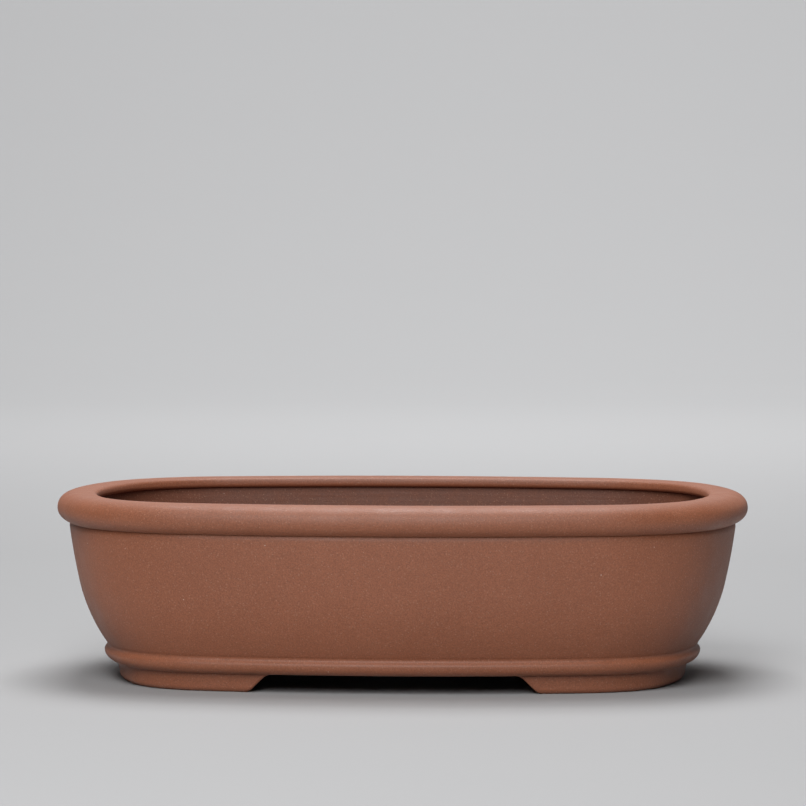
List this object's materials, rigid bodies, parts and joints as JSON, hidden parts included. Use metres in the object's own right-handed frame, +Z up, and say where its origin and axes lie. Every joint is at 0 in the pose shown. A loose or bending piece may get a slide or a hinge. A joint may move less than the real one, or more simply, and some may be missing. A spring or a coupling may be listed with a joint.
{
  "type": "bonsai pot",
  "caption": "Shallow oval stoneware bonsai pot with a rolled rim, a belt above curved feet, tie-wire holes, and drain holes under mesh screens held by wire clips.",
  "frame": {"origin": "on the ground under the middle of the pot, in the plane of the feet's lower faces", "axes": "+X along the pot's length, towards the right-hand foot as seen from the front; +Y across it, towards the back; +Z up, towards the open mouth"},
  "size_m": [0.305, 0.232, 0.082],
  "materials": {
    "stoneware": "matte unglazed red-brown stoneware with fine sand",
    "screen_plastic": "moulded black polyethylene mesh",
    "clip_wire": "brown anodised soft wire"
  },
  "bodies": {
    "root": {"rim_lip": "stoneware", "side_wall": "stoneware", "belt": "stoneware", "floor_slab": "stoneware", "foot_left": "stoneware", "foot_right": "stoneware", "drain_screen_left": "screen_plastic", "drain_screen_right": "screen_plastic", "screen_clip_left": "clip_wire", "screen_clip_right": "clip_wire"}
  },
  "joints": []
}
